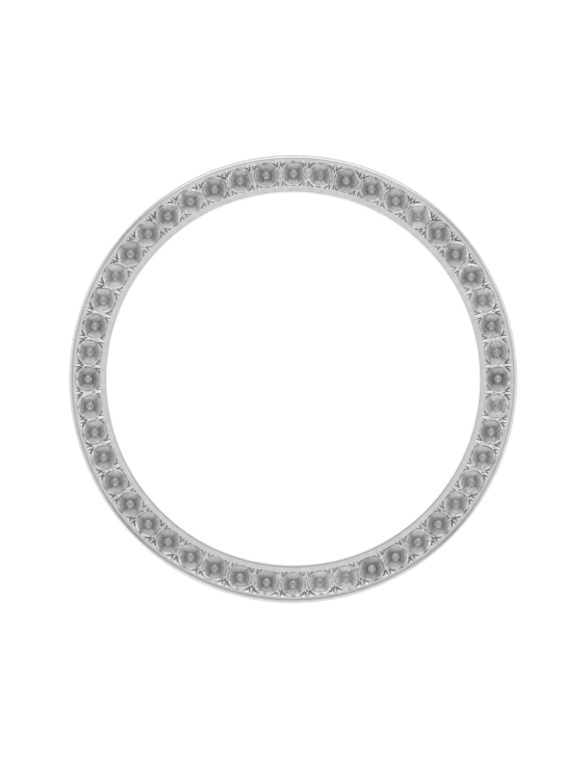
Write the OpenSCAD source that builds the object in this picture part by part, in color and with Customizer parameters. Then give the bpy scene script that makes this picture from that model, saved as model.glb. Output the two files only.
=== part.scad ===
// Gem-set watch bezel: a polished ring with one row of round brilliants.
// Millimetres. +Z points out of the watch, +Y at twelve o'clock, and the back
// face, which rests on the watch case, lies at z = 0.

/* [Ring] */
// Diameter of the opening that the watch glass stands in
opening_d = 29.86; // [28:0.02:32]
// Width of the plain rim between the opening and the channel
rim_w = 0.57; // [0.4:0.01:0.9]
// Width of the flat land outside the channel
land_w = 0.22; // [0.1:0.01:0.4]
// Width of the steep step outside the land
step_w = 0.06; // [0.03:0.01:0.12]
// Height of that step
step_h = 0.10; // [0.05:0.01:0.2]
// Width of the rounded bevel outside the step
bevel_w = 0.25; // [0.15:0.01:0.6]
// Height of the rounded bevel
bevel_h = 0.35; // [0.2:0.05:1.6]
// Steepness of the bevel where it leaves the step, on its ellipse
bevel_start = 8; // [4:1:50]
// Height of the whole ring
ring_h = 2.60; // [2.4:0.05:3.4]
// Width and height of the edge cut round the foot of the ring
foot_edge = 0.12; // [0.05:0.01:0.3]
// Width of the edge cut round the top of the opening
opening_edge_w = 0.08; // [0.04:0.01:0.2]
// Height of the edge cut round the top of the opening
opening_edge_h = 0.10; // [0.04:0.01:0.3]

/* [Press seat] */
// Step in radius from the opening out to the bore that presses over the gasket
press_step = 0.56; // [0.3:0.01:0.7]
// Depth of that bore from the back face
press_depth = 1.20; // [0.8:0.05:1.5]
// Lead-in cut at the mouth of that bore
press_lead = 0.10; // [0.05:0.01:0.15]

/* [Stones] */
// Diameter of a stone at its girdle
stone_d = 2.00; // [1.8:0.05:2.4]
// Least gap between the girdles of two neighbours
stone_gap = 0.14; // [0.1:0.01:0.2]
// Diameter of the table, as a share of the stone's diameter
table_share = 0.57; // [0.5:0.01:0.65]
// Angle of the crown's main facets above the girdle plane
crown_angle = 34; // [30:0.5:37]
// Angle of the pavilion's main facets below the girdle plane
pavilion_angle = 41.5; // [39:0.5:43]
// Height of the girdle's band
girdle_h = 0.06; // [0.03:0.01:0.1]
// How far a star facet reaches from the table's edge to the girdle
star_share = 0.50; // [0.4:0.01:0.6]
// How far a lower half facet reaches from the girdle to the culet
lower_half_share = 0.77; // [0.6:0.01:0.85]
// How far the table stands above the ring's top
table_rise = 0.02; // [0:0.01:0.1]

/* [Setting] */
// Clearance between a stone and the metal round it
seat_gap = 0.015; // [0.005:0.005:0.03]
// How far a seat bites into the channel's two walls
wall_bite = 0.03; // [0.02:0.01:0.06]
// Diameter of the drilled pit under each stone's culet
pit_d = 0.60; // [0.4:0.05:1]
// Clearance between the culet and the pit's floor
pit_clear = 0.04; // [0.02:0.01:0.1]
// Angle across the drill's point, which leaves the pit's cone
drill_angle = 118; // [90:1:140]
// Diameter of the flat that the drill's chisel edge leaves at the bottom
drill_flat_d = 0.08; // [0.04:0.01:0.2]
// Drop from the ring's top to the tops of the bars between the stones
bar_drop = 0.09; // [0.05:0.01:0.14]
// Radius of a grain, the bead of metal that holds a stone's edge down
grain_r = 0.10; // [0.07:0.01:0.12]
// Angle of a grain round its stone, from the line to the next stone
grain_angle = 26; // [24:1:34]
// How far a grain's centre stands outside the girdle
grain_out = 0.065; // [0.02:0.005:0.08]
// How far a grain's top stands above the bars between the stones
grain_rise = 0.06; // [0.05:0.005:0.08]
// Width and height of the edge rounded off a grain's head
grain_edge = 0.04; // [0.01:0.005:0.04]
// Width of a bar beside the outer wall
outer_bar_w = 0.22; // [0.16:0.01:0.3]
// Width of a bar beside the rim
inner_bar_w = 0.26; // [0.16:0.01:0.3]
// Diameter of the small drilled hole that parts a bar's two grains
dot_d = 0.10; // [0.06:0.01:0.12]
// Depth of that hole
dot_depth = 0.35; // [0.1:0.01:0.5]
// Depth of the bright cut beside each bar
cut_depth = 0.30; // [0.1:0.01:0.4]
// How far a bright cut reaches from the middle line between two stones
cut_reach = 0.50; // [0.4:0.01:0.52]
// Width of a bright cut where it ends at the channel's wall
cut_w = 0.16; // [0.1:0.01:0.2]
// Metal left between a bright cut and the dot, the seat and the channel's wall
cut_rim = 0.035; // [0.02:0.005:0.045]

/* [Hidden] */
// How many like facets of each kind a stone has round it
facet_count = 8;
// How far the facets are drawn out past the girdle before it trims them
facet_over = 0.04;
// Straight lengths along the bevel
bevel_steps = 10;
// How far a cutting solid runs past the face that it cuts
over = 0.5;

// Corners round a stone's edge, and the turns from facet to facet and from
// corner to corner
edge_count = 2 * facet_count;
full_turn = 360 / facet_count;
half_turn = 360 / edge_count;

// Radii, from the opening outwards
opening_r = opening_d / 2;
press_r = opening_r + press_step;
stone_r = stone_d / 2;
seat_r = stone_r + seat_gap;
lip_in_r = opening_r + rim_w;
pitch_r = lip_in_r - wall_bite + seat_r;
lip_out_r = pitch_r + seat_r - wall_bite;
land_out_r = lip_out_r + land_w;
shoulder_r = land_out_r + step_w;
outer_r = shoulder_r + bevel_w;

// As many stones as the pitch circle holds with at least stone_gap between them
stone_count = floor(180 / asin((stone_d + stone_gap) / (2 * pitch_r)));
stone_step = 360 / stone_count;

// Where two neighbours' line of centres crosses the middle of their gap, and
// how far each centre lies from that point
meet_r = pitch_r * cos(stone_step / 2);
meet_half = pitch_r * sin(stone_step / 2);

// A stone's corners, as radii and as heights above the girdle's upper edge
table_r = stone_r * table_share;
crown_h = (stone_r - table_r) * tan(crown_angle);
pavilion_h = stone_r * tan(pavilion_angle);
star_edge = table_r * cos(half_turn);
star_r = star_edge + star_share * (stone_r - star_edge);
star_z = (stone_r - star_r * cos(half_turn)) * tan(crown_angle);
half_r = stone_r * (1 - lower_half_share);
half_z = -girdle_h - (stone_r - half_r * cos(half_turn)) * tan(pavilion_angle);
// Facets drawn out to this radius, so that the mains still cut the girdle at stone_r
drawn_r = stone_r + facet_over;
drawn_top = (stone_r - drawn_r) * tan(crown_angle);
drawn_foot = (drawn_r - stone_r) * tan(pavilion_angle) - girdle_h;

// Levels in the ring
girdle_top = ring_h + table_rise - crown_h;
girdle_foot = girdle_top - girdle_h;
bar_z = ring_h - bar_drop;

// A grain's underside clears the crown's corners where it reaches furthest in
crown_slope = star_z / (stone_r - star_r);
grain_foot = girdle_top + (grain_r - grain_out) * crown_slope + seat_gap;
grain_top = bar_z + grain_rise;

// The seat's cone runs along the stone's lower corners, down to the drilled pit
pit_r = pit_d / 2;
corner_slope = (drawn_foot - half_z) / (drawn_r - half_r);
cone_foot = girdle_foot - (seat_r - pit_r) * corner_slope;
flat_r = drill_flat_d / 2;
pit_floor = girdle_foot - pavilion_h - pit_clear;
pit_foot = pit_floor + (pit_r - flat_r) / tan(drill_angle / 2);

// A grain's place off the point where two neighbours meet
grain_x = meet_half - (stone_r + grain_out) * cos(grain_angle);
grain_y = (stone_r + grain_out) * sin(grain_angle);
dot_y = grain_y + grain_r + cut_rim;
cut_y = dot_y + cut_rim;

function stone_name(i) = str("stone_", i < 10 ? "0" : "", i);

// Angle of stone i round the ring. Stone 1 is at twelve o'clock, and the count
// runs clockwise as the wearer sees it.
function stone_angle(i) = 90 - (i - 1) * stone_step;

// Each stone was dropped in at its own turn, which the setter doesn't control
function stone_turn(i) = (i * 137.5) % full_turn;

function at(r, a, z) = [r * cos(a), r * sin(a), z];

// Half the width of the metal between two seats, at y off the line of centres
function metal_x(y) = meet_half - sqrt(pow(seat_r, 2) - pow(y, 2));

// Puts its children at stone i, with +Y pointing away from the ring's centre
module at_stone(i) {
    rotate(stone_angle(i) - 90) translate([0, pitch_r, 0]) children();
}

// Puts its children where stones i and i + 1 meet, facing the same way
module at_meeting(i) {
    rotate(stone_angle(i + 0.5) - 90) translate([0, meet_r, 0]) children();
}

// Puts its children on both sides of the middle line between two stones
module both_sides() {
    children();
    mirror([1, 0, 0]) children();
}

// A quarter ellipse less its flat start, from the side up to the shoulder
function bevel_points() =
    let (
        half_w = bevel_w / (1 - sin(bevel_start)),
        half_h = bevel_h / cos(bevel_start)
    )
    [
        for (k = [bevel_steps:-1:0])
            let (a = bevel_start + (90 - bevel_start) * k / bevel_steps)
            [
                outer_r - half_w * (1 - sin(a)),
                ring_h - step_h - bevel_h + half_h * cos(a)
            ]
    ];

// The ring's section, anticlockwise from the mouth of the press bore
function ring_section() = concat(
    [
        [press_r + press_lead, 0],
        [outer_r - foot_edge, 0],
        [outer_r, foot_edge],
    ],
    bevel_points(),
    [
        [land_out_r, ring_h],
        [lip_out_r, ring_h],
        [lip_out_r, bar_z],
        [lip_in_r, bar_z],
        [lip_in_r, ring_h],
        [opening_r + opening_edge_w, ring_h],
        [opening_r, ring_h - opening_edge_h],
        [opening_r, press_depth],
        [press_r, press_depth],
        [press_r, press_lead],
    ]
);

// What the setter's burr and drill take out for one stone
module seat_cut() {
    rotate_extrude($fn = 96)
        polygon([
            [0, pit_floor],
            [flat_r, pit_floor],
            [pit_r, pit_foot],
            [pit_r, cone_foot],
            [seat_r, girdle_foot],
            [seat_r, ring_h + over],
            [0, ring_h + over],
        ]);
}

// One bright cut, which starts beside a bar and runs along a stone's edge to the
// channel's wall
module bright_cut(bar_w, far_y) {
    translate([0, 0, bar_z - cut_depth])
        linear_extrude(cut_depth + over)
            polygon([
                [bar_w / 2, cut_y],
                [metal_x(cut_y) - cut_rim, cut_y],
                [cut_reach, far_y],
                [cut_reach - cut_w, far_y],
            ]);
}

// The drilled hole that parts a bar's two grains
module dot_cut() {
    translate([0, dot_y, bar_z - dot_depth])
        cylinder(r = dot_d / 2, h = dot_depth + over, $fn = 24);
}

// Everything cut away between two neighbours: at the wall, then at the rim
module meeting_cuts() {
    dot_cut();
    both_sides() bright_cut(outer_bar_w, lip_out_r - meet_r - cut_rim);
    mirror([0, 1, 0]) {
        dot_cut();
        both_sides() bright_cut(inner_bar_w, meet_r - lip_in_r - cut_rim);
    }
}

// One grain: a short post with a rounded-off head that reaches over its stone's edge
module grain() {
    rotate_extrude($fn = 24)
        polygon([
            [0, grain_foot],
            [grain_r, grain_foot],
            [grain_r, grain_top - grain_edge],
            [grain_r - grain_edge, grain_top],
            [0, grain_top],
        ]);
}

// The four grains between two neighbours
module grains() {
    both_sides() {
        translate([grain_x, grain_y, 0]) grain();
        translate([grain_x, -grain_y, 0]) grain();
    }
}

// The ring with its seats, split bars and grains, all one metal
module bezel_ring() {
    color("#cfd0d2") {
        difference() {
            rotate_extrude($fn = 360) polygon(ring_section());
            for (i = [1:stone_count]) {
                at_stone(i) seat_cut();
                at_meeting(i) meeting_cuts();
            }
        }
        for (i = [1:stone_count]) at_meeting(i) grains();
    }
}

// A round brilliant: the table, 8 stars, 8 kites and 16 halves above a round
// girdle, and 16 halves and 8 mains below it. Its facets are drawn out past the
// girdle and the girdle's cylinder trims them, so its edge is scalloped.
module brilliant() {
    table_corners = [for (k = [0:facet_count - 1]) at(table_r, k * full_turn, crown_h)];
    star_tips = [
        for (k = [0:facet_count - 1]) at(star_r, (k + 0.5) * full_turn, star_z)
    ];
    upper_corners = [for (k = [0:edge_count - 1]) at(drawn_r, k * half_turn, drawn_top)];
    lower_corners = [for (k = [0:edge_count - 1]) at(drawn_r, k * half_turn, drawn_foot)];
    half_tips = [
        for (k = [0:facet_count - 1]) at(half_r, (k + 0.5) * full_turn, half_z)
    ];
    culet = [0, 0, -girdle_h - pavilion_h];
    first_star = facet_count;
    first_upper = first_star + facet_count;
    first_lower = first_upper + edge_count;
    first_half = first_lower + edge_count;
    last = first_half + facet_count;
    table = [[for (k = [facet_count - 1:-1:0]) k]];
    stars = [for (k = [0:facet_count - 1]) [k, (k + 1) % facet_count, first_star + k]];
    kites = [
        for (k = [0:facet_count - 1])
            let (before = (k + facet_count - 1) % facet_count)
            [k, first_star + k, first_upper + 2 * k, first_star + before]
    ];
    upper_halves = [
        for (k = [0:facet_count - 1], side = [0, 1])
            [
                first_star + k,
                first_upper + (2 * k + 1 + side) % edge_count,
                first_upper + 2 * k + side
            ]
    ];
    band = [
        for (k = [0:edge_count - 1])
            let (after = (k + 1) % edge_count)
            [first_upper + k, first_upper + after, first_lower + after, first_lower + k]
    ];
    lower_halves = [
        for (k = [0:facet_count - 1], side = [0, 1])
            [
                first_lower + 2 * k + side,
                first_lower + (2 * k + 1 + side) % edge_count,
                first_half + k
            ]
    ];
    mains = [
        for (k = [0:facet_count - 1])
            let (before = (k + facet_count - 1) % facet_count)
            [first_lower + 2 * k, first_half + k, last, first_half + before]
    ];
    intersection() {
        polyhedron(
            points = concat(table_corners, star_tips, upper_corners, lower_corners,
                            half_tips, [culet]),
            faces = concat(table, stars, kites, upper_halves, band, lower_halves, mains)
        );
        translate([0, 0, -stone_d]) cylinder(r = stone_r, h = 2 * stone_d, $fn = 96);
    }
}

module stone(i) {
    color("#a6a8aa")
        at_stone(i) translate([0, 0, girdle_top]) rotate(stone_turn(i)) brilliant();
}

bezel_ring();
for (i = [1:stone_count]) {
    stone(i);
}
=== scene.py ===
# %% [markdown]
# A gem-set watch bezel.
# A bezel is the ring that frames a watch's glass. This one is white metal, polished bright,
# with one row of round brilliants let into its top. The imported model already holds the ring
# and every stone at their real size. This lesson dresses it: it works out a finer skin for the
# ring, with the small beads and bright cuts that hold the stones, gives metal and stones their
# finish, and lights them as a small studio would.

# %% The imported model, and its box before anything is added
import math

import bpy
import numpy as np
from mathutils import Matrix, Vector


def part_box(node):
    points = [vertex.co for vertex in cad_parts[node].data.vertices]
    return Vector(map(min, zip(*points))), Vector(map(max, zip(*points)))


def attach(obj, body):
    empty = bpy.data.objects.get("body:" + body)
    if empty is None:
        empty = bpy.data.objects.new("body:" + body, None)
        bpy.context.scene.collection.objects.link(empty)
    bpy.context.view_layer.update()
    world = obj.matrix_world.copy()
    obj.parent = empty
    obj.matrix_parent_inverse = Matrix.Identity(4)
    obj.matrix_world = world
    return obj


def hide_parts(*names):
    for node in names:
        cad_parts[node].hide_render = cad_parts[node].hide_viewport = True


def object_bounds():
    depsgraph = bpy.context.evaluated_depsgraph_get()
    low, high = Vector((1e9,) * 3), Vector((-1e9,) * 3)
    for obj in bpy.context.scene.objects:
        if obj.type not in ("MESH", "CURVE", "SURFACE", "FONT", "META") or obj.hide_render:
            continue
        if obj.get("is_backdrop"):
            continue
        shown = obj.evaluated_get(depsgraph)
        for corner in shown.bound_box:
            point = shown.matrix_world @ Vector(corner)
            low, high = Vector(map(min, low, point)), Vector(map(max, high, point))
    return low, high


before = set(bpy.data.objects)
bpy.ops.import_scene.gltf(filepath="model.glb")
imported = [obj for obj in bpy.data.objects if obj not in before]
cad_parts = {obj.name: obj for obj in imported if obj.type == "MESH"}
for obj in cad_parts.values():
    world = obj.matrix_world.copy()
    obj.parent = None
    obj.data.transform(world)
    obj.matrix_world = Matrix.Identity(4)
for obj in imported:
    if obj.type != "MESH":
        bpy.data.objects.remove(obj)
cad_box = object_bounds()
print("packed nodes:", len(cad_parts))

# %% [markdown]
# Sizes of the stones.
# The frame tells how large a stone is and where it sits: the first one lies at twelve o'clock,
# so its box along Y gives both its radius and the radius of the row.

# %% The stones, measured on the frame
mm = 0.001
first_low, first_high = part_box("stone_01")
stone_names = sorted(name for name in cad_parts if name.startswith("stone_"))
stone_count = len(stone_names)
stone_r = (first_high.y - first_low.y) / 2
pitch_r = (first_high.y + first_low.y) / 2
stone_step = 2 * math.pi / stone_count
print(stone_count, "stones of", round(2 * stone_r / mm, 3), "mm")
print("their middles lie on a radius of", round(pitch_r / mm, 3), "mm")

# %% [markdown]
# Sizes of the ring.
# The ring's outside and height come from the frame too. The sizes that a box can't show, such
# as the step beside the outer land or the bore below, are given here in metres.

# %% The ring, from the opening outwards
ring_top_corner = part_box("bezel_ring")[1]
outer_r = ring_top_corner.x
ring_h = ring_top_corner.z
opening_r = 14.93 * mm
opening_edge_w = 0.08 * mm
opening_edge_h = 0.10 * mm
press_r = 15.49 * mm
press_depth = 1.20 * mm
press_lead = 0.10 * mm
seat_gap = 0.015 * mm
seat_r = stone_r + seat_gap
rim_r = pitch_r - seat_r
wall_r = pitch_r + seat_r
step_w = 0.06 * mm
step_h = 0.10 * mm
bevel_w = 0.25 * mm
bevel_h = 0.35 * mm
bevel_start = math.radians(8)
foot_edge = 0.12 * mm
shoulder_r = outer_r - bevel_w
land_out_r = shoulder_r - step_w
print("the rim is", round((rim_r - opening_r) / mm, 3), "mm wide")
print("the land is", round((land_out_r - wall_r) / mm, 3), "mm wide")

# %% [markdown]
# From grids to meshes.
# Every new surface here is a grid of points, worked out as whole arrays. Its faces are quads
# between neighbours. Points that meet, such as the two ends of a full turn, are welded, so that
# each surface closes without a seam.

# %% A grid's faces, and the weld
weld_step = 1e-8


def grid_faces(rows, columns, around=False):
    """Quads of a grid whose point (i, j) has the index i * columns + j, closed over i if around."""
    i = np.arange(rows if around else rows - 1)[:, None]
    j = np.arange(columns - 1)[None, :]
    below = (i + 1) % rows
    corners = [i * columns + j, below * columns + j, below * columns + j + 1, i * columns + j + 1]
    return np.stack(corners, axis=-1).reshape(-1, 4)


def welded(points, quads):
    """Points that round to the same whole number of weld steps become one. Gives the points that
    are left, the quads on them, and the old index of each point that is left."""
    keys = np.round(points / weld_step).astype(np.int64)
    _, first, index = np.unique(keys, axis=0, return_index=True, return_inverse=True)
    return points[first], index.reshape(-1)[quads], first


print("a grid of 3 by 4 points has", len(grid_faces(3, 4)), "faces")

# %% [markdown]
# Outwards and smooth.
# A closed surface knows which side is out: the volume inside it comes out negative when its
# faces point inwards, and then they are all turned over. Each point's normal is the sum of the
# faces round it, each weighted by its area. A broad flat face outweighs the narrow rounding
# beside it, so the flat stays flat in the reflections and only the rounding turns.

# %% The volume inside, and the normals
least_length = 1e-30


def enclosed_volume(points, quads):
    """Each quad is two triangles. Sum over all of them of the box product of the three corners,
    divided by six."""
    a, b, c, d = (points[quads[:, k]] for k in range(4))
    first_half = np.einsum("ij,ij->i", a, np.cross(b, c))
    second_half = np.einsum("ij,ij->i", a, np.cross(c, d))
    return (first_half + second_half).sum() / 6


def point_normals(points, quads):
    """A quad's normal is the cross product of its diagonals, which is as long as twice its area.
    A point's normal is the sum over its quads, brought to length one."""
    corner = [points[quads[:, k]] for k in range(4)]
    face_normal = np.cross(corner[2] - corner[0], corner[3] - corner[1])
    normals = np.zeros_like(points)
    for k in range(4):
        np.add.at(normals, quads[:, k], face_normal)
    return normals / np.maximum(np.linalg.norm(normals, axis=1, keepdims=True), least_length)


# %% [markdown]
# One helper for every new piece.
# It welds, turns the faces outwards, and fills a mesh from the arrays in a few calls. Where a
# pole flattens a quad, two of its corners are one point: the spare corner is left out, and a
# face with fewer than three corners is dropped.

# %% From arrays to an object
def solid_piece(name, points, quads, unlit=0, shade_and_tone=None):
    """A closed mesh object of the points and quads. The last unlit quads touch the next piece, so
    they are kept out of the normals. The painted shade and tone, if given, is kept on the points
    as an attribute, for the finish to read."""
    points, quads, first = welded(points, quads)
    if enclosed_volume(points, quads) < 0:
        quads = quads[:, ::-1]
    normals = point_normals(points, quads[: len(quads) - unlit])
    kept = quads != np.roll(quads, 1, axis=1)
    kept[kept.sum(axis=1) < 3] = False
    counts = kept.sum(axis=1)
    counts = counts[counts > 0]
    starts = np.concatenate([[0], np.cumsum(counts)[:-1]])
    mesh = bpy.data.meshes.new(name)
    mesh.vertices.add(len(points))
    mesh.vertices.foreach_set("co", points.astype(np.float32).ravel())
    mesh.loops.add(int(counts.sum()))
    mesh.loops.foreach_set("vertex_index", quads[kept].astype(np.int32))
    mesh.polygons.add(len(counts))
    mesh.polygons.foreach_set("loop_start", starts.astype(np.int32))
    mesh.update(calc_edges=True)
    mesh.validate()
    mesh.shade_smooth()
    mesh.normals_split_custom_set_from_vertices(normals)
    if shade_and_tone is not None:
        values = shade_and_tone[first].astype(np.float32)
        mesh.attributes.new("shade_and_tone", "FLOAT", "POINT").data.foreach_set("value", values)
    piece = bpy.data.objects.new(name, mesh)
    bpy.context.scene.collection.objects.link(piece)
    print(name, "has", len(mesh.polygons), "faces")
    return piece


# %% [markdown]
# Softened corners.
# A lathe turns the ring from bar, so everything outside and inside the row of stones is a
# profile carried round the axis. Polishing takes each sharp corner down a little, and that
# small rounding is what catches the light. So each corner is cut back and bridged by a
# quadratic curve: the corner point pulls the curve between its two ends.

# %% A profile with softened corners
corner_steps = 5
same_place = 1e-9
fine_edge = 0.012 * mm
lip_edge = 0.015 * mm
plain_edge = 0.02 * mm
worn_edge = 0.03 * mm


def softened(corners):
    """Each row is radius, height and cut-back. A corner P with cut-back c becomes the curve
    (1 - s)^2 A + 2 s (1 - s) P + s^2 B, where A and B lie c before and after P."""
    place = corners[:, :2]
    back = corners[:, 2:]
    to_last = np.roll(place, 1, axis=0) - place
    to_next = np.roll(place, -1, axis=0) - place
    start = place + to_last / np.linalg.norm(to_last, axis=1, keepdims=True) * back
    end = place + to_next / np.linalg.norm(to_next, axis=1, keepdims=True) * back
    s = np.linspace(0, 1, corner_steps)[None, :, None]
    curve = (1 - s) ** 2 * start[:, None] + 2 * s * (1 - s) * place[:, None] + s**2 * end[:, None]
    flat = curve.reshape(-1, 2)
    moved = np.linalg.norm(flat - np.roll(flat, 1, axis=0), axis=1) > same_place
    return flat[moved]


print("a softened corner takes", corner_steps, "points")

# %% [markdown]
# Round the axis.
# The profile is carried round in small equal turns. On the way each point gets a painted shade, from
# 0 for bright metal to 1 for dark, which the finish reads later. It follows the radius. Both edges
# of the ring are painted darker towards six o'clock, as painted shade on the side that gets less
# light, so a second list of steps takes over there.

# %% A profile turned on the lathe
turn_steps = 720
low_power = 3


def turned(name, profile, shade_steps, low_shade_steps):
    """Each profile point (r, z) goes to (r cos t, r sin t, z) at every turn t. Its painted shade
    follows the radius, in straight lines between the steps of (radius, painted shade). The low
    steps, with more painted shade, hold at six o'clock, the others at twelve, and in between they
    mix by the cube of (1 - sin t) / 2."""
    t = (np.arange(turn_steps) * 2 * np.pi / turn_steps)[:, None]
    loop = np.vstack([profile, profile[:1]])
    r, z = loop[None, :, 0], loop[None, :, 1]
    points = np.stack([r * np.cos(t), r * np.sin(t), z + 0 * t], axis=-1)
    share = ((1 - np.sin(t)) / 2) ** low_power
    shade_and_tone = np.interp(r, *zip(*shade_steps)) * (1 - share) + np.interp(r, *zip(*low_shade_steps)) * share
    faces = grid_faces(turn_steps, len(loop), around=True)
    return solid_piece(name, points.reshape(-1, 3), faces, shade_and_tone=shade_and_tone.ravel())


# %% [markdown]
# The bevel.
# Outside the step the ring rounds over to its side. The bevel is a quarter of an ellipse less
# its flat start: its width runs as one minus the sine of the angle, and its height as the
# cosine. Only its last point, at the shoulder beside the step, has a corner to soften.

# %% The bevel's rows of radius, height and cut-back
bevel_steps = 17
bevel_angle = np.linspace(np.pi / 2, bevel_start, bevel_steps)
ellipse_w = bevel_w / (1 - math.sin(bevel_start))
ellipse_h = bevel_h / math.cos(bevel_start)
bevel = np.stack(
    [
        outer_r - ellipse_w * (1 - np.sin(bevel_angle)),
        ring_h - step_h - bevel_h + ellipse_h * np.cos(bevel_angle),
        0 * bevel_angle,
    ],
    axis=1,
)
bevel[-1, 2] = fine_edge
print("the shoulder lies", round((ring_h - bevel[-1, 1]) / mm, 3), "mm below the land")

# %% [markdown]
# The outer wall.
# It runs from the channel's outer side over the flat land, down a small step and over the bevel
# to the side. The step is painted dark, as painted shade in its corner, which shows as a thin dark
# line round the ring, and the bevel's outer edge is painted darker, as painted shade where it turns
# down to the side. Towards six o'clock the land's edge is painted darker too.

# %% The outer wall
land_shade_r = land_out_r - 0.10 * mm
land_edge_r = land_out_r - 0.016 * mm
step_dark_r = land_out_r - 0.006 * mm
step_end_r = shoulder_r + 0.01 * mm
bevel_shade_start_r = outer_r - 0.16 * mm
bevel_shade_full_r = outer_r - 0.08 * mm
outer_profile = np.vstack(
    [
        [wall_r, 0, 0],
        [outer_r - foot_edge, 0, plain_edge],
        [outer_r, foot_edge, plain_edge],
        bevel,
        [land_out_r, ring_h, lip_edge],
        [land_shade_r, ring_h, 0],
        [wall_r, ring_h, fine_edge],
    ]
)
# Painted shade: a dark line in the step and a darker outer edge of the bevel, more of both at six
# o'clock.
outer_shade_steps = (
    (land_edge_r, 0.0),
    (step_dark_r, 0.85),
    (shoulder_r, 0.85),
    (step_end_r, 0.0),
    (bevel_shade_start_r, 0.1),
    (bevel_shade_full_r, 0.45),
)
outer_low_shade_steps = (
    (wall_r, 0.0),
    (land_shade_r, 0.28),
    (land_edge_r, 0.28),
    (step_dark_r, 1.0),
    (shoulder_r, 1.0),
    (step_end_r, 0.35),
    (bevel_shade_start_r, 0.25),
    (bevel_shade_full_r, 0.45),
)
outer_wall = turned("outer_wall", softened(outer_profile), outer_shade_steps, outer_low_shade_steps)

# %% [markdown]
# The rim.
# The rim is the plain band between the stones and the glass. From below it carries the
# stepped bore that the ring is pressed on by. The edge of the opening is rounded, and a band
# beside it is painted darker, as painted shade, much darker towards six o'clock.

# %% The rim
edge_shade_r = opening_r + 0.02 * mm
rim_shade_r = opening_r + 0.14 * mm
rim_bright_r = opening_r + 0.22 * mm
rim_profile = np.array(
    [
        [press_r + press_lead, 0, plain_edge],
        [rim_r, 0, 0],
        [rim_r, ring_h, lip_edge],
        [rim_bright_r, ring_h, 0],
        [rim_shade_r, ring_h, 0],
        [opening_r + opening_edge_w, ring_h, worn_edge],
        [opening_r, ring_h - opening_edge_h, worn_edge],
        [opening_r, press_depth, plain_edge],
        [press_r, press_depth, plain_edge],
        [press_r, press_lead, plain_edge],
    ]
)
# Painted shade beside the edge of the opening, stronger at six o'clock.
rim_shade_steps = ((edge_shade_r, 0.2), (rim_shade_r, 0.08), (rim_bright_r, 0.0))
rim_low_shade_steps = ((edge_shade_r, 0.4), (rim_shade_r, 0.65), (rim_bright_r, 0.0))
rim = turned("rim", softened(rim_profile), rim_shade_steps, rim_low_shade_steps)

# %% [markdown]
# The bed of the stones.
# Between the two turned parts lies the bed: a seat burred for each stone, with a drilled pit
# below it that keeps the stone's point free, and between two seats the metal that the setter
# worked by hand. The seat's cone follows the stone's lower corners, which rise by corner_slope
# for each unit outwards, and swells a little where the round burr bit deeper. The pit ends in
# the cone of the drill's point, with a small flat at the bottom.

# %% Heights and radii of seat and pit
pavilion_angle = math.radians(41.5)
corner_slope = 0.9038
drill_half_angle = math.radians(59)
pit_r = 0.30 * mm
pit_clear = 0.04 * mm
flat_r = 0.04 * mm
ledge_w = 0.05 * mm
ledge_drop = 0.01 * mm
cone_swell = 0.009 * mm
culet_z = first_low.z
girdle_foot = culet_z + stone_r * math.tan(pavilion_angle)
cone_foot = girdle_foot - (seat_r - pit_r) * corner_slope
ledge_r = pit_r - ledge_w
ledge_z = cone_foot - ledge_drop
pit_floor = culet_z - pit_clear
pit_foot = pit_floor + (pit_r - flat_r) / math.tan(drill_half_angle)
print("the pit's floor lies", round((ring_h - pit_floor) / mm, 3), "mm below the ring's top")

# %% [markdown]
# The middle line.
# Each bar stands on the middle line between two stones, where it crosses the line through the
# stones' centres. The grains stand round that point, just outside the stones' edges, and a
# drilled dot lies beyond each pair of grains.

# %% Places between two stones
bar_drop = 0.09 * mm
grain_out = 0.065 * mm
grain_angle = math.radians(26)
dot_out = 0.07 * mm
bar_z = ring_h - bar_drop
meet_r = pitch_r * math.cos(stone_step / 2)
meet_half = pitch_r * math.sin(stone_step / 2)
grain_x = meet_half - (stone_r + grain_out) * math.cos(grain_angle)
grain_y = (stone_r + grain_out) * math.sin(grain_angle)
dot_y = grain_y + dot_out
print("metal between two seats:", round((meet_half - seat_r) * 2 / mm, 3), "mm wide")

# %% [markdown]
# The metal between two stones.
# The setter leaves a bar between two seats, cuts a bright groove along each stone's edge on
# both sides of the bar, and splits the bar's ends with a fine drill. Smooth steps, rather than
# sharp ones, give every cut a slope that reflects its own patch of light. Towards the wall and
# the rim the groove ends in a facet, which climbs out of it at a steady slope.

# %% The groove beside a bar, and its facet
outer_bar_half = 0.096 * mm
inner_bar_half = 0.125 * mm
bar_side_w = 0.04 * mm
thin_rim_start, thin_rim_end = 0.015 * mm, 0.055 * mm
groove_start, groove_full = 0.50 * mm, 0.75 * mm
groove_fade, groove_end = 0.45 * mm, 0.65 * mm
facet_off_rim = 0.12 * mm
facet_off_bar = 0.09 * mm
outer_facet_y = 0.90 * mm
inner_facet_y = 0.94 * mm
facet_slope = 0.50


def step_between(low, high, value):
    """The smooth step 3 t^2 - 2 t^3 of t, which runs from 0 at low to 1 at high."""
    t = np.clip((value - low) / (high - low), 0, 1)
    return t * t * (3 - 2 * t)


def groove_share(x, along, off_seat, bar_half):
    """From 0 on uncut metal to 1 in the full groove: the product of the smooth steps off the bar,
    off the thin rim round the seat, along the bar, and back to 0 far from the middle line."""
    off_bar = step_between(bar_half, bar_half + bar_side_w, x)
    off_rim = step_between(thin_rim_start, thin_rim_end, off_seat)
    groove = off_bar * off_rim * step_between(groove_start, groove_full, along)
    return groove * (1 - step_between(groove_fade, groove_end, x))


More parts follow.
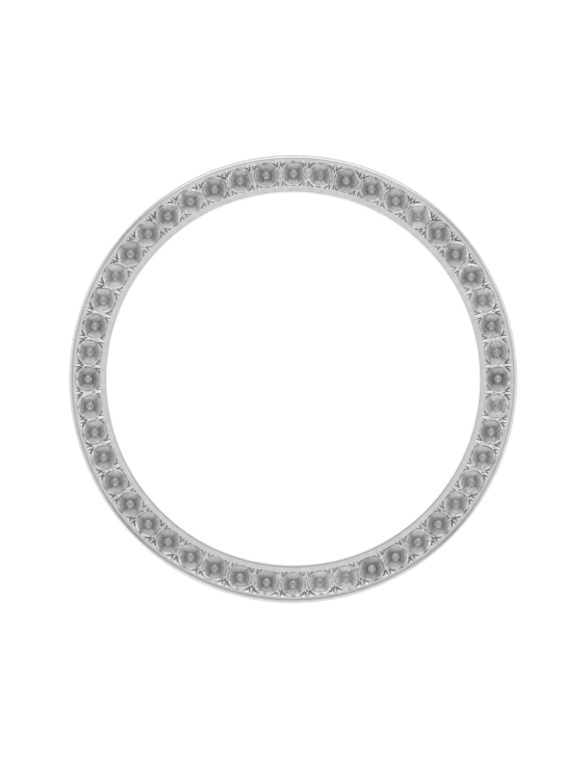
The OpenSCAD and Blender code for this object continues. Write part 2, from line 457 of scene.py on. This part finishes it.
def facet_height(x, y, off_seat, bar_half):
    """The slope times the smaller of two distances, one past the facet's line beside the bar and
    one past its line beside the seat, or times the distance past the facet's line near the wall
    or the rim of the ring where that is more, and never below 0."""
    climb = np.minimum(off_seat - facet_off_rim, x - bar_half - facet_off_bar)
    climb = np.maximum(climb, np.abs(y) - np.where(y > 0, outer_facet_y, inner_facet_y))
    return facet_slope * np.clip(climb, 0, None)


print("a bar is", round(2 * outer_bar_half / mm, 3), "mm wide towards the wall")
print("and", round(2 * inner_bar_half / mm, 3), "mm wide towards the rim")

# %% [markdown]
# The drilled dots.
# A fine drill splits each end of the bar, so that each half can be pushed over its stone. The
# drill is worked to and fro along the bar, which draws its hole out. On the rim's side the dots
# lie closer to the line of centres and are shallower.

# %% The dots
dot_core, dot_edge = 0.02 * mm, 0.06 * mm
dot_stretch = 3
inner_dot_shift = 0.15 * mm
inner_dot_share = 0.7


def drilled_dots(x, y, dot_wobble):
    """The dot's depth times one minus the smooth step of the distance from its middle, in which
    the way along the bar counts for a third. dot_wobble gives the depth and the shift along the
    bar of each copy's dots."""
    dot_depth, dot_shift = (dot_wobble[:, k].reshape(-1, 1, 1) for k in range(2))
    dot_place = np.where(y > 0, dot_y, dot_y - inner_dot_shift) + dot_shift
    reach = np.hypot(x, (np.abs(y) - dot_place) / dot_stretch)
    dot = 1 - step_between(dot_core, dot_edge, reach)
    return dot * dot_depth * np.where(y > 0, 1, inner_dot_share)


print("a dot is", round(2 * dot_edge / mm, 3), "mm wide and", dot_stretch, "times as long")

# %% [markdown]
# Height and painted shade.
# Everything that the setter cuts is taken off the level of the bar. The bottoms of the cuts and
# dots are painted dark, as painted shade where little light gets in, darker on the wall's side
# than on the rim's, and the facets are left bright.

# %% The surface of the metal between two stones
groove_depth = 0.15 * mm
dot_hole = 0.10 * mm
bar_crown = 0.020 * mm
seat_lip_w = 0.035 * mm
seat_lip_h = 0.008 * mm
facet_shine = 0.015 * mm
outer_shade, inner_shade = 0.82, 0.55
bar_dark = 0.12
dark_rate = 3


def metal_surface(x, y, edge, wobble, dot_wobble):
    """Height and painted shade at x from the middle line, y from the line of centres and edge from
    the seat. The height is the bar's level, less the groove as far as the facet hasn't climbed out
    of it, less a crown that falls by the square of x, the dots and the rounding beside the seat.
    The painted shade of a cut sets in dark_rate times as fast as the groove itself. wobble has one
    row per copy: the bar's width, the groove's depth, its shift from the stone and its shift along
    the bar. dot_wobble is alike for both halves of a bar."""
    width, depth, shift, slide = (wobble[:, k].reshape(-1, 1, 1) for k in range(4))
    bar_half = np.where(y > 0, outer_bar_half, inner_bar_half) * width
    groove = groove_share(x, np.abs(y) + slide, edge - shift, bar_half)
    facet = facet_height(x, y, edge - shift, bar_half)
    dot = drilled_dots(x, y, dot_wobble)
    drop = np.clip(groove_depth * depth * groove - facet, 0, None)
    crown = bar_crown * np.clip(x / bar_half, 0, 1) ** 2
    seat_lip = 1 - step_between(0, seat_lip_w, edge)
    z = bar_z - drop - crown - dot_hole * dot - seat_lip_h * seat_lip
    # Painted shade in the bottoms of the cuts and the dots, darker on the wall's side; the bars a
    # little darker.
    shade = np.where(y > 0, outer_shade, inner_shade)
    dark = np.clip(dark_rate * groove, 0, 1) * (1 - step_between(0, facet_shine, facet))
    shade_and_tone = bar_dark * (1 - groove) + shade * (dark + dot)
    return z, np.clip(shade_and_tone, 0, 1)


print("a cut reaches about", round(groove_depth / mm, 3), "mm below the bar")

# %% [markdown]
# Half a bed, seen from above.
# One stone's bed is a grid. Its rows follow the edge of the seat, by the angle round the stone.
# Its columns run from the middle line between two stones over the metal, down the seat's wall
# and cone, into the pit, and back along the underside of the ring to the middle line again. So
# one grid holds top, seat and back without a break, and it is mirrored for the other side. Here
# the stone lies at twelve o'clock and the middle line on the side of -X.

# %% Places of rows and columns
bed_rows = 61
metal_columns = 23
stone_middle = np.array([0, pitch_r])
row_angle = np.pi / 2 + np.linspace(0, np.pi, bed_rows)[:, None]
half_circle = np.stack([np.cos(row_angle), np.sin(row_angle)], axis=-1)


def round_stone(radius):
    """Half a circle about the stone: its middle plus the radius times (cos a, sin a)."""
    return stone_middle + radius * half_circle


seat_line = round_stone(seat_r)
line_r = np.hypot(seat_line[..., 0], seat_line[..., 1])
seat_turn = np.arctan2(-seat_line[..., 0], seat_line[..., 1])
column_share = np.linspace(0, 1, metal_columns)[None, :]
metal_turn = stone_step / 2 + (seat_turn - stone_step / 2) * column_share
metal_plan = np.stack([-line_r * np.sin(metal_turn), line_r * np.cos(metal_turn)], axis=-1)
from_middle = line_r * np.sin(stone_step / 2 - metal_turn)
from_centres = line_r * np.cos(stone_step / 2 - metal_turn) - meet_r
from_seat = np.hypot(metal_plan[..., 0], metal_plan[..., 1] - pitch_r) - seat_r
print("points on the metal beside half a seat:", metal_plan[..., 0].size)

# %% [markdown]
# Many copies at once.
# The grid is filled part by part. Each part gives its place, its height and its painted shade and
# tone, and the parts are then laid side by side. All copies are worked out in one go: the first axis
# of every array counts them, and a part that is alike for all copies is spread out to all.

# %% A helper that lays the parts of a grid side by side
def side_by_side(parts, copies):
    """Points of shape (copies, rows, columns, 3) and the painted shade and tone of each, from 0 to
    1:
    the parts' places, heights and painted shade, one part's columns after the other's."""
    columns = []
    for flat, z, shade_and_tone in parts:
        shape = (copies,) + flat.shape[1:3]
        layers = [np.broadcast_to(flat, shape + (2,))]
        layers += [np.broadcast_to(value, shape)[..., None] for value in (z, shade_and_tone)]
        columns.append(np.concatenate(layers, axis=-1))
    grid = np.concatenate(columns, axis=2)
    return grid[..., :3], np.clip(grid[..., 3], 0, 1)


# %% [markdown]
# Half a bed, with its heights.
# The seat is left bright at its edge and painted ever darker towards its foot, as painted shade
# deeper in the seat, and a thin flat ledge round the pit catches the light as a fine ring.

# %% One half of a stone's bed
cone_columns = np.array([0.05, 0.20, 0.35, 0.50, 0.65, 0.80, 0.95, 1.0])
point_columns = np.array([0.12, 0.88])
# Painted shade: the seat's cone darker towards its foot and the pit darker; the back of the bed is a
# little darker.
foot_shade = 0.57
seat_tone = 1.6
pit_shade = 0.20
back_dark = 0.2


def half_bed(wobble, dot_wobble, drift, tone):
    """The cone runs in a straight line from seat to pit, and swells by 4 s (1 - s) of cone_swell
    at the share s of its way. The cone that the drill's point left at the pit's foot is straight.
    drift is how far each pit's drill wandered from the middle of its seat, and tone how much
    duller than the rest a seat is."""
    spots = (from_middle[None], from_centres[None], from_seat[None])
    heights = metal_surface(*spots, wobble, dot_wobble)
    down = cone_columns[None, :, None]
    cone = seat_line + (round_stone(pit_r) - seat_line) * down
    cone_z = girdle_foot + (cone_foot - girdle_foot) * down + 4 * cone_swell * down * (1 - down)
    inwards = point_columns[None, :]
    point = ledge_r + (flat_r - ledge_r) * inwards
    point_z = pit_foot + (pit_floor - pit_foot) * inwards
    pit = drift[:, None, None, :]
    tone = tone[:, None, None]
    parts = [
        (metal_plan[None], *heights),
        (seat_line[None], girdle_foot, seat_tone * tone),
        (cone[None] + pit * down[None], cone_z[..., 0], foot_shade * down[..., 0] + seat_tone * tone),
        (round_stone(pit_r) + pit, ledge_z, 0.0),
        (round_stone(ledge_r) + pit, ledge_z, 0.0),
        (round_stone(ledge_r) + pit, pit_foot, pit_shade - tone),
        (round_stone(point[:, :, None]) + pit, point_z, pit_shade - tone),
        (round_stone(flat_r) + pit, pit_floor, pit_shade - tone),
        (round_stone(0) + pit, pit_floor, pit_shade - tone),
        (round_stone(0)[None], 0.0, back_dark),
        (seat_line[None], 0.0, back_dark),
        (metal_plan[None, :, ::-1], 0.0, back_dark),
    ]
    return side_by_side(parts, len(wobble))


print("the cone has", len(cone_columns), "columns and the drill's point", len(point_columns))

# %% [markdown]
# The setter's hand.
# The metal is cut by hand, with a graver and a fine drill, so no two places are quite alike. A
# seeded random generator stands for the setter's hand: it gives each bar its width, each cut
# its depth and place, and each dot its depth and shift, the same ones every time the lesson
# runs.

# %% Small differences from place to place
hand = np.random.default_rng(48)
bar_width_reach = 0.10
groove_depth_range = (0.6, 1.3)
groove_shift_reach = 0.010 * mm
groove_slide_reach = 0.050 * mm
dot_depth_range = (0.2, 1.4)
dot_shift_reach = 0.03 * mm
drift_reach = 0.015 * mm
tone_reach = 0.04


def cut_wobble(count):
    """One row per copy: a normal draw round 1 for the bar's width, an even draw for the groove's
    depth, and normal draws round 0 for its two shifts."""
    return np.stack(
        [
            hand.normal(1, bar_width_reach, count),
            hand.uniform(*groove_depth_range, count),
            hand.normal(0, groove_shift_reach, count),
            hand.normal(0, groove_slide_reach, count),
        ],
        axis=1,
    )


dot_depths = hand.uniform(*dot_depth_range, stone_count)
dot_shifts = hand.normal(0, dot_shift_reach, stone_count)
dots = np.stack([dot_depths, dot_shifts], axis=1)
print("deepest dot:", round(dot_hole * dot_depths.max() / mm, 3), "mm")

# %% [markdown]
# Closing a piece of bed.
# Top and back of the bed don't touch at the two walls or at the two cut ends. A strip of faces
# closes it along each wall, and a flat cap of faces at each end.

# %% Helpers that turn, close and cap a half bed
def placed(points, angle):
    """Points turned about the ring's axis by one angle per copy: (x, y) goes to
    (x cos a - y sin a, x sin a + y cos a)."""
    c, s = (f(angle).reshape(-1, 1, 1) for f in (np.cos, np.sin))
    x, y, z = points[..., 0], points[..., 1], points[..., 2]
    return np.stack([c * x - s * y, s * x + c * y, z], axis=-1)


def closing_strips(rows, columns):
    """Quads between the metal's top columns and its back columns, on the first and last row."""
    top = np.arange(metal_columns)
    back = columns - 1 - top
    strips = []
    for row, outwards in ((0, 1), (rows - 1, -1)):
        corners = [row * columns + line for line in (top[:-1], top[1:], back[1:], back[:-1])]
        strips.append(np.stack(corners, axis=-1)[:, ::outwards])
    return strips


def end_cap(rows, columns):
    """Quads between the first and the last column, from each row to the next."""
    first = np.arange(rows - 1) * columns
    last = first + columns - 1
    return np.stack([first, last, last + columns, first + columns], axis=-1)


# %% [markdown]
# The four quarters.
# A quarter of the row makes one piece, so that no mesh grows too heavy. Each stone's bed is two
# halves, one the mirror image of the other in its shape but not in its small differences. A
# bar's dots are shared by the halves on both its sides, so both read the same row of dots. The
# first and the last half of a quarter get the end caps, where the next quarter begins.

# %% The bed in four quarters
quarters = 4
per_quarter = stone_count // quarters
bed_pieces = []
for quarter in range(quarters):
    stones = np.arange(per_quarter) + quarter * per_quarter
    drift = hand.normal(0, drift_reach, (per_quarter, 2))
    tone = hand.normal(0, tone_reach, per_quarter)
    all_points, all_quads, end_quads, all_shade, offset = [], [], [], [], 0
    for side, capped in ((1, 0), (-1, per_quarter - 1)):
        wobble = cut_wobble(per_quarter)
        bars = dots[(stones - (side + 1) // 2) % stone_count]
        half, half_shade = half_bed(wobble, bars, drift * np.array([side, 1]), tone)
        half[..., 0] *= side
        half = placed(half, -stone_step * stones)
        rows, columns = half.shape[1:3]
        faces = np.concatenate([grid_faces(rows, columns)] + closing_strips(rows, columns))
        cap = end_cap(rows, columns)
        for copy in range(per_quarter):
            all_points.append(half[copy].reshape(-1, 3))
            all_shade.append(half_shade[copy].ravel())
            all_quads.append(faces[:, ::side] + offset)
            if copy == capped:
                end_quads.append(cap[:, ::side] + offset)
            offset += rows * columns
    bed_pieces.append(
        solid_piece(
            f"stone_bed_{quarter + 1}",
            np.concatenate(all_points),
            np.concatenate(all_quads + end_quads),
            unlit=sum(len(quads) for quads in end_quads),
            shade_and_tone=np.concatenate(all_shade),
        )
    )

# %% [markdown]
# The shape of a grain.
# A grain is the bead of metal that the setter pushes over a stone's edge and rounds with a
# cupped tool. Its underside lies flat on the crown, its head is a dome. It is a small profile
# turned about its own axis: from the middle of the foot outwards, up to where the dome begins,
# and over the dome, by the cosine outwards and the sine upwards.

# %% A grain's profile, as shares of its radius and its height
grain_sides = 10
dome_steps = 4
foot_share = 0.85
dome_start = 0.40
dome = np.linspace(0, np.pi / 2, dome_steps)
grain_share = np.concatenate([[0, foot_share], np.cos(dome)])
grain_level = np.concatenate([[0, 0], dome_start + (1 - dome_start) * np.sin(dome)])
grain_turn = np.arange(grain_sides) * 2 * np.pi / grain_sides
print("points on a grain:", grain_sides * len(grain_share))

# %% [markdown]
# All the grains.
# Four grains stand between each two stones, and no two came out quite alike, so their place,
# size and height vary. The 192 copies are worked out at once and make one piece.

# %% The grains
per_gap = 4
grain_r = 0.085 * mm
foot_rise = 0.105 * mm
top_rise = 0.05 * mm
sideways_reach = 0.006 * mm
along_reach = 0.010 * mm
size_range = (0.92, 1.08)
top_reach_mm = 0.012
grain_foot = girdle_foot + foot_rise
grain_top = bar_z + top_rise
gap_angle = -stone_step * (np.arange(stone_count) + 0.5)
side_x, side_y = np.meshgrid([-1, 1], [-1, 1])
copies = stone_count * per_gap
grain_off_x = np.tile(side_x.ravel(), stone_count) * grain_x + hand.normal(0, sideways_reach, copies)
grain_off_y = np.tile(side_y.ravel(), stone_count) * grain_y + hand.normal(0, along_reach, copies)
size = grain_r * hand.uniform(*size_range, copies)
top = grain_top + hand.uniform(-top_reach_mm, top_reach_mm, copies) * mm
radius = size[:, None, None] * grain_share[None, None, :]
level = grain_foot + (top - grain_foot)[:, None, None] * grain_level[None, None, :]
sweep = grain_turn[None, :, None]
grain_points = np.stack(
    [
        grain_off_x[:, None, None] + radius * np.cos(sweep),
        meet_r + grain_off_y[:, None, None] + radius * np.sin(sweep),
        level + 0 * sweep,
    ],
    axis=-1,
)
grain_points = placed(grain_points, np.repeat(gap_angle, per_gap))
one_grain = grid_faces(grain_sides, len(grain_share), around=True)
first_point = np.arange(copies) * grain_sides * len(grain_share)
all_grains = one_grain[None] + first_point[:, None, None]
grains = solid_piece("grains", grain_points.reshape(-1, 3), all_grains.reshape(-1, 4))

# %% [markdown]
# Finishes.
# A finish is a small network of nodes that starts from the place on the piece, read as Object
# coordinates, and ends in one shader. The helpers below add a node and fill its sockets in one
# call: a plain value is set, and another node's output is linked.

# %% Helpers that build a finish
def fill(tree, node, sockets):
    """Fills a node's sockets by name or number: an output is linked, a plain value is set."""
    for name, value in dict(sockets).items():
        if isinstance(value, bpy.types.NodeSocket):
            tree.links.new(value, node.inputs[name])
        else:
            node.inputs[name].default_value = value


def add(tree, kind, sockets=(), **settings):
    """A new shader node with its settings, and its sockets filled."""
    node = tree.nodes.new("ShaderNode" + kind)
    for name, value in settings.items():
        setattr(node, name, value)
    fill(tree, node, sockets)
    return node


def finish(name):
    """A new material, its node tree and its one shader."""
    material = bpy.data.materials.new(name)
    material.use_nodes = True
    return material, material.node_tree, material.node_tree.nodes["Principled BSDF"]


# %% [markdown]
# Noise and greys.
# All the metal and the stones are shades of grey that vary softly from place to place. These
# helpers draw noise on a place, bring it to a wanted reach, and turn a value into a grey.

# %% Helpers for noise and greys
noise_low, noise_high = 0.3, 0.7


def noise(tree, place, scale, detail):
    """Soft noise from 0 to 1 whose spots are one unit wide once the place is scaled."""
    sockets = {"Vector": place, "Scale": scale, "Detail": detail}
    return add(tree, "TexNoise", sockets).outputs["Fac"]


def spread(tree, value, low, high):
    """Takes a value from noise_low to noise_high, the usual reach of noise, to low to high."""
    sockets = {"Value": value, "From Min": noise_low, "From Max": noise_high}
    sockets.update({"To Min": low, "To Max": high})
    return add(tree, "MapRange", sockets).outputs["Result"]


def levels(tree, value, steps):
    """A grey that follows steps of (value, grey), in straight lines between them."""
    ramp = add(tree, "ValToRGB", {"Fac": value})
    stops = ramp.color_ramp.elements
    stops[0].position, stops[1].position = steps[0][0], steps[-1][0]
    for position, _ in steps[1:-1]:
        stops.new(position)
    for stop, (_, grey) in zip(stops, steps):
        stop.color = (grey, grey, grey, 1)
    return ramp.outputs["Color"]


def plain_grey(tree, grey):
    """A colour whose red, green and blue are all the same value."""
    return add(tree, "CombineColor", {0: grey, 1: grey, 2: grey}).outputs[0]


# %% [markdown]
# The place in lathe terms.
# Marks from a turning wheel run round the ring. Noise shows such marks when the place that it
# reads changes slowly round the axis and fast across it.

# %% A helper for marks that run round the ring
def turned_place(tree, around, across):
    """The unit direction from the axis times around, plus, along Z, the distance from the axis
    plus the height, times across. Noise on it draws out into rings."""
    place = add(tree, "TexCoord").outputs["Object"]
    flat = add(tree, "VectorMath", {0: place, 1: (1, 1, 0)}, operation="MULTIPLY").outputs[0]
    reach = add(tree, "VectorMath", {0: flat}, operation="LENGTH").outputs["Value"]
    way = add(tree, "VectorMath", {0: flat}, operation="NORMALIZE").outputs[0]
    way = add(tree, "VectorMath", {0: way, "Scale": around}, operation="SCALE").outputs[0]
    height = add(tree, "SeparateXYZ", {0: place}).outputs["Z"]
    depth = add(tree, "Math", {0: reach, 1: height}, operation="ADD").outputs[0]
    depth = add(tree, "Math", {0: depth, 1: across}, operation="MULTIPLY").outputs[0]
    rise = add(tree, "CombineXYZ", {"Z": depth}).outputs[0]
    return add(tree, "VectorMath", {0: way, 1: rise}, operation="ADD").outputs[0]


# %% [markdown]
# Polished metal.
# Polishing on a turning wheel leaves very fine marks that run round the ring, and a faint
# cloudiness between them. Noise on the place in lathe terms gives the marks, and plain noise
# the clouds. Both vary the tone a little, and the marks also lift the surface by about a
# thousandth of a millimetre. The painted shade that was worked out with the shape darkens the tone.

# %% Polished white metal
full_shade = 0.30
marks_around, marks_across = 60, 30000
clouds_per_metre = 2500
mark_depth = 1.5e-6
polished, tree, shader = finish("polished_metal")
marks = noise(tree, turned_place(tree, marks_around, marks_across), scale=1.0, detail=3.0)
place = add(tree, "TexCoord").outputs["Object"]
cloud = noise(tree, place, scale=clouds_per_metre, detail=3.0)
both = add(tree, "Math", {0: marks, 1: cloud}, operation="ADD").outputs[0]
mean = add(tree, "Math", {0: both, 1: 0.5}, operation="MULTIPLY").outputs[0]
grey = spread(tree, mean, low=0.80, high=0.93)
# Painted shade, kept on the points, darkens the grey of the polished metal.
shade_value = add(tree, "Attribute", attribute_name="shade_and_tone").outputs["Fac"]
shade = add(tree, "MapRange", {"Value": shade_value, "To Min": 1.0, "To Max": full_shade})
grey = add(tree, "Math", {0: grey, 1: shade.outputs["Result"]}, operation="MULTIPLY").outputs[0]
bump = add(tree, "Bump", {"Height": marks, "Strength": 0.5, "Distance": mark_depth})
roughness = spread(tree, cloud, low=0.07, high=0.16)
fill(tree, shader, {"Metallic": 1, "Base Color": plain_grey(tree, grey)})
fill(tree, shader, {"Roughness": roughness, "Normal": bump.outputs[0]})
print("polished metal takes", len(tree.nodes), "nodes")

# %% [markdown]
# Seats and cuts.
# The metal between and behind the stones isn't polished. The bars and the facets beside them
# are left bright, while the bottoms of the cuts and the lower part of each seat are painted dark,
# as painted shade. This painted shade, with each seat's small tone, tells these places apart, so
# one finish serves them all: it turns the painted shade into a tone and adds fine strokes.

# %% Cut metal
cut_tones = ((0.0, 0.85), (0.4, 0.58), (1.0, 0.16))
strokes_per_metre = 9000
stroke_depth = 1e-6
cut, tree, shader = finish("cut_metal")
place = add(tree, "TexCoord").outputs["Object"]
strokes = noise(tree, place, scale=strokes_per_metre, detail=3.0)
stroke_tone = spread(tree, strokes, low=0.85, high=1.10)
# Painted shade and each seat's small tone, kept on the points, set the grey of the cut metal.
shade_value = add(tree, "Attribute", attribute_name="shade_and_tone").outputs["Fac"]
tone = levels(tree, shade_value, cut_tones)
grey = add(tree, "VectorMath", {0: tone, "Scale": stroke_tone}, operation="SCALE").outputs[0]
bump = add(tree, "Bump", {"Height": strokes, "Strength": 0.3, "Distance": stroke_depth})
roughness = spread(tree, strokes, low=0.05, high=0.11)
fill(tree, shader, {"Metallic": 1, "Base Color": grey})
fill(tree, shader, {"Roughness": roughness, "Normal": bump.outputs[0]})
print("cut metal takes", len(tree.nodes), "nodes")

# %% [markdown]
# Clear stones.
# In the photo the stones are so quiet that their seats show through, each with its drilled
# pit. A strongly bending stone would hide both behind its facets. So the body of the stone
# hardly bends the light, and a thin coat gives its facets their gloss. The finish varies a
# little inside the stone, as if it had a breath of haze.

# %% Clear stone
body_bend = 1.015
coat_bend = 1.6
coat_share = 0.5
haze_per_metre = 1500
gem, tree, shader = finish("stone_glass")
place = add(tree, "TexCoord").outputs["Object"]
haze = noise(tree, place, scale=haze_per_metre, detail=2.0)
grey = spread(tree, haze, low=0.92, high=1.0)
roughness = spread(tree, haze, low=0.0, high=0.06)
fill(tree, shader, {"Transmission Weight": 1, "IOR": body_bend})
fill(tree, shader, {"Coat Weight": coat_share, "Coat IOR": coat_bend, "Coat Roughness": 0.03})
fill(tree, shader, {"Base Color": plain_grey(tree, grey), "Roughness": roughness})
print("clear stone takes", len(tree.nodes), "nodes")

# %% [markdown]
# Pieces in the frame.
# The ring was packed as one plain piece. The finer pieces made here take its place in the picture
# and ride on the body named root, while the imported ring itself is hidden and its mesh left as it
# is. The stones keep their imported shape and only change their finish.

# %% Every piece gets its finish and its place in the frame
ring_pieces = [outer_wall, rim, grains] + bed_pieces
for piece in ring_pieces:
    piece.data.materials.append(cut if piece in bed_pieces else polished)
    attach(piece, "root")
    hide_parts("bezel_ring")
for name in stone_names:
    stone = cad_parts[name]
    stone.data.materials.clear()
    stone.data.materials.append(gem)
print(len(ring_pieces), "pieces stand for the ring, beside", len(stone_names), "stones")

# %% [markdown]
# The studio.
# Polished metal shows whatever stands round it, so a ring like this is photographed in a tent
# of white cloth on a white table. Each side of the tent has its own brightness, and so has each
# height. The rim and the land lie flat and show only the middle of the roof, where the camera
# looks in through a slot and less light arrives. The seats show the roof beside the slot, and
# near their edge the cloth just above the table, which is the brightest. The bevel shows the
# foot of the tent and the table. The seams between the sides are darker, and give each seat its
# faint cross. The values were found by comparing seats, cuts and bevel with the photo, side by
# side and one direction at a time.

# %% Brightness of the tent's sides, in the order left, right, near and far
foot_sides = (0.59, 0.77, 0.59, 0.91)
low_sides = (1.60, 1.35, 1.80, 1.05)
wall_sides = (0.60, 0.78, 0.65, 0.95)
roof_sides = (0.80, 0.80, 1.12, 1.20)
slot_light = 0.68
slot_half_x = 0.22
slot_half_y = 0.10
wall_seam = 0.68
roof_seam = 0.55
side_change = 0.08
print("brightest side of the tent:", max(foot_sides + low_sides + wall_sides + roof_sides))

# %% [markdown]
# The direction as numbers.
# The tent is a world background: its brightness follows the direction alone, by the side that
# the direction meets and by its rise, which is 0 at the horizon and 1 straight up. It is built
# from a few steps of arithmetic. The value named corner below is 0 where two sides meet, 1 in
# the middle of the near and far sides, and -1 in the middle of the left and right ones.

# %% The world, and the steps of its arithmetic
scene = bpy.context.scene
scene.view_settings.view_transform = "Standard"
world = bpy.data.worlds.new("studio")
scene.world = world
world.use_nodes = True
sky = world.node_tree


def maths(operation, first, second=0.0):
    """One step of arithmetic in the world's tree."""
    return add(sky, "Math", {0: first, 1: second}, operation=operation).outputs[0]


def blend_of(share, low, high, start=0.0, end=1.0):
    """low where share is at start or less, high where it is at end or more, a straight line
    between."""
    sockets = {"Value": share, "From Min": start, "From Max": end, "To Min": low, "To Max": high}
    return add(sky, "MapRange", sockets).outputs["Result"]


direction = add(sky, "TexCoord").outputs["Generated"]
along_x, along_y, rise = add(sky, "SeparateXYZ", {0: direction}).outputs
size_x = maths("ABSOLUTE", along_x)
size_y = maths("ABSOLUTE", along_y)
right = maths("GREATER_THAN", along_x, 0.0)
far = maths("GREATER_THAN", along_y, 0.0)
tiny = 1e-4
never_zero = maths("ADD", maths("ADD", size_x, size_y), tiny)
corner = maths("DIVIDE", maths("SUBTRACT", size_y, size_x), never_zero)
print("the direction's arithmetic takes", len(sky.nodes), "nodes")

# %% [markdown]
# The tent.
# From the foot upwards, each height of the tent blends into the next over a short rise. Then
# come the seams, which darken the places where two sides meet, and last the slot in the roof,
# an ellipse round the direction straight up. Each pair below tells where a change starts and
# ends: on the rise for the first four, and on the way from a corner for the seam's width. The
# slot's edge is told by the sum of the squares of x and y, each as a share of the slot's half
# width that way, which is 1 on the ellipse.

# %% The tent's light
foot_to_low = (0.02, 0.08)
low_to_wall = (0.15, 0.35)
wall_to_roof = (0.55, 0.85)
seam_to_roof = (0.35, 0.75)
seam_width = (0.05, 0.30)
slot_edge = (0.6, 1.4)


def four_sides(sides):
    """The brightness of the side that a direction meets, which changes quickly at the corners."""
    across = blend_of(right, sides[0], sides[1])
    along = blend_of(far, sides[2], sides[3])
    return blend_of(corner, across, along, -side_change, side_change)


tent = blend_of(rise, four_sides(foot_sides), four_sides(low_sides), *foot_to_low)
tent = blend_of(rise, tent, four_sides(wall_sides), *low_to_wall)
tent = blend_of(rise, tent, four_sides(roof_sides), *wall_to_roof)
seam = blend_of(rise, wall_seam, roof_seam, *seam_to_roof)
seam = blend_of(maths("ABSOLUTE", corner), seam, 1.0, *seam_width)
slot_x = maths("DIVIDE", along_x, slot_half_x)
slot_y = maths("DIVIDE", along_y, slot_half_y)
slot_reach = maths("ADD", maths("MULTIPLY", slot_x, slot_x), maths("MULTIPLY", slot_y, slot_y))
light = blend_of(slot_reach, slot_light, maths("MULTIPLY", tent, seam), *slot_edge)
fill(sky, sky.nodes["Background"], {"Color": light, "Strength": 1.0})
print("the tent takes", len(sky.nodes), "nodes")

# %% [markdown]
# The table.
# The table is one plain white plane with a little light of its own, so that the ring lies on
# pure white as it does in the photo. It is part of the studio, not of the bezel.

# %% The table
table_grey = 0.9
table_glow = 0.45
bpy.ops.mesh.primitive_plane_add(size=2)
floor = bpy.context.object
floor.name = "floor"
floor_paint, tree, shader = finish("floor_paint")
table_colour = (table_grey, table_grey, table_grey, 1)
fill(tree, shader, {"Base Color": table_colour, "Specular IOR Level": 0})
fill(tree, shader, {"Emission Color": (1, 1, 1, 1), "Emission Strength": table_glow})
floor.data.materials.append(floor_paint)
floor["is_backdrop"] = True
print("the table is", floor.dimensions.x, "m wide")

# %% [markdown]
# The camera.
# The photo looks straight down on the ring from far away. The ring's middle and its outer
# radius were measured on the photo, in pixels. They tell how far the camera is moved aside
# from the axis, and how long its lens has to be.

# %% Camera
photo_width = 576
photo_height = 768
ring_centre = (293.2, 379.0)
ring_radius = 224.5
pixel = outer_r / ring_radius
camera_height = 0.6
sensor_height = 24
lens = bpy.data.cameras.new("camera")
lens.sensor_fit = "VERTICAL"
lens.sensor_height = sensor_height
lens.lens = sensor_height * (camera_height - ring_h) / (photo_height * pixel)
camera = bpy.data.objects.new("camera", lens)
camera.location = (
    (photo_width / 2 - ring_centre[0]) * pixel,
    (ring_centre[1] - photo_height / 2) * pixel,
    camera_height,
)
scene.collection.objects.link(camera)
scene.camera = camera
print("one pixel shows", round(pixel / mm, 4), "mm, through a lens of", round(lens.lens), "mm")

# %% [markdown]
# The result.
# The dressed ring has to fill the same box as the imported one. Both boxes are written down next
# to each other, so that they can be compared.

# %% The two boxes side by side
scene_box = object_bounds()
for name, (low, high) in (("packed", cad_box), ("dressed", scene_box)):
    print(name, "box in mm:", [round((high[k] - low[k]) / mm, 3) for k in range(3)])
